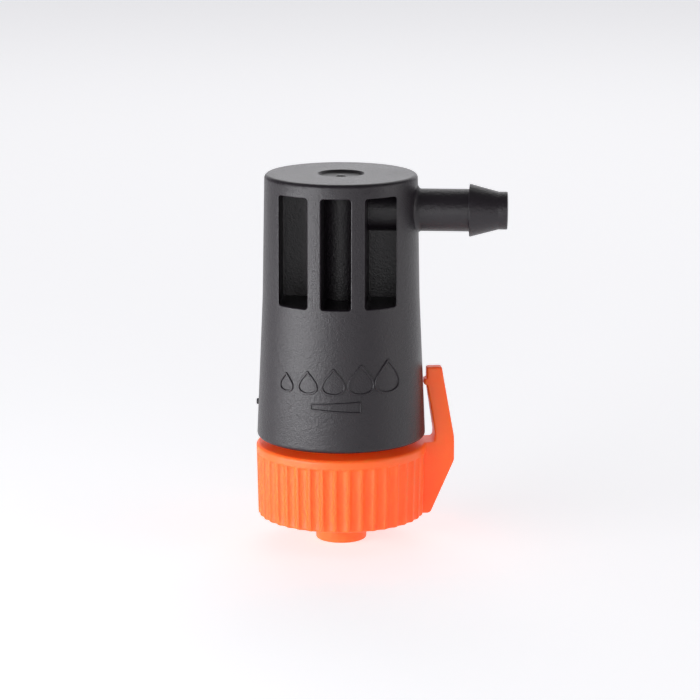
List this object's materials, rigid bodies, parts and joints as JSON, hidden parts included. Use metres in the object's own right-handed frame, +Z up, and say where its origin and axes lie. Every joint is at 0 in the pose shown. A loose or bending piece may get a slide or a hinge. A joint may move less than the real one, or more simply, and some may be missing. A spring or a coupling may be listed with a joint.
{
  "type": "adjustable drip emitter",
  "caption": "Adjustable end-of-line drip emitter: tapered black body with window pockets and a side hose barb, ribbed orange flow knob with pointer arm below.",
  "frame": {"origin": "middle of the part's bounding box in plan, at the level of the outlet stub's lower end", "axes": "+Z up along the common axis of housing and knob, +X along the inlet barb, +Y across"},
  "size_m": [0.0264, 0.018, 0.0391],
  "materials": {
    "housing_plastic": "satin black moulded plastic with a fine spark texture",
    "knob_plastic": "satin orange moulded plastic",
    "seal_rubber": "matt black rubber",
    "pin_plastic": "satin natural acetal"
  },
  "bodies": {
    "housing": {"housing": "housing_plastic", "seat_bush": "seal_rubber"},
    "stem_ring": {"stem_ring": "seal_rubber"},
    "knob": {"flow_knob": "knob_plastic", "metering_pin": "pin_plastic"}
  },
  "joints": [
    {"name": "knob_lift", "type": "slide", "parent": "housing", "child": "stem_ring", "axis": [0, 0, 1], "range_m": [-0.0000312, 0.0005937]},
    {"name": "knob_turn", "type": "hinge", "parent": "stem_ring", "child": "knob", "pos_m": [-0.00419, 0, 0], "axis": [0, 0, 1], "range_deg": [-9, 171]}
  ],
  "couplings": [
    {"joint": "knob_turn", "follows": "knob_lift", "rad_per_m": 5026.5}
  ]
}
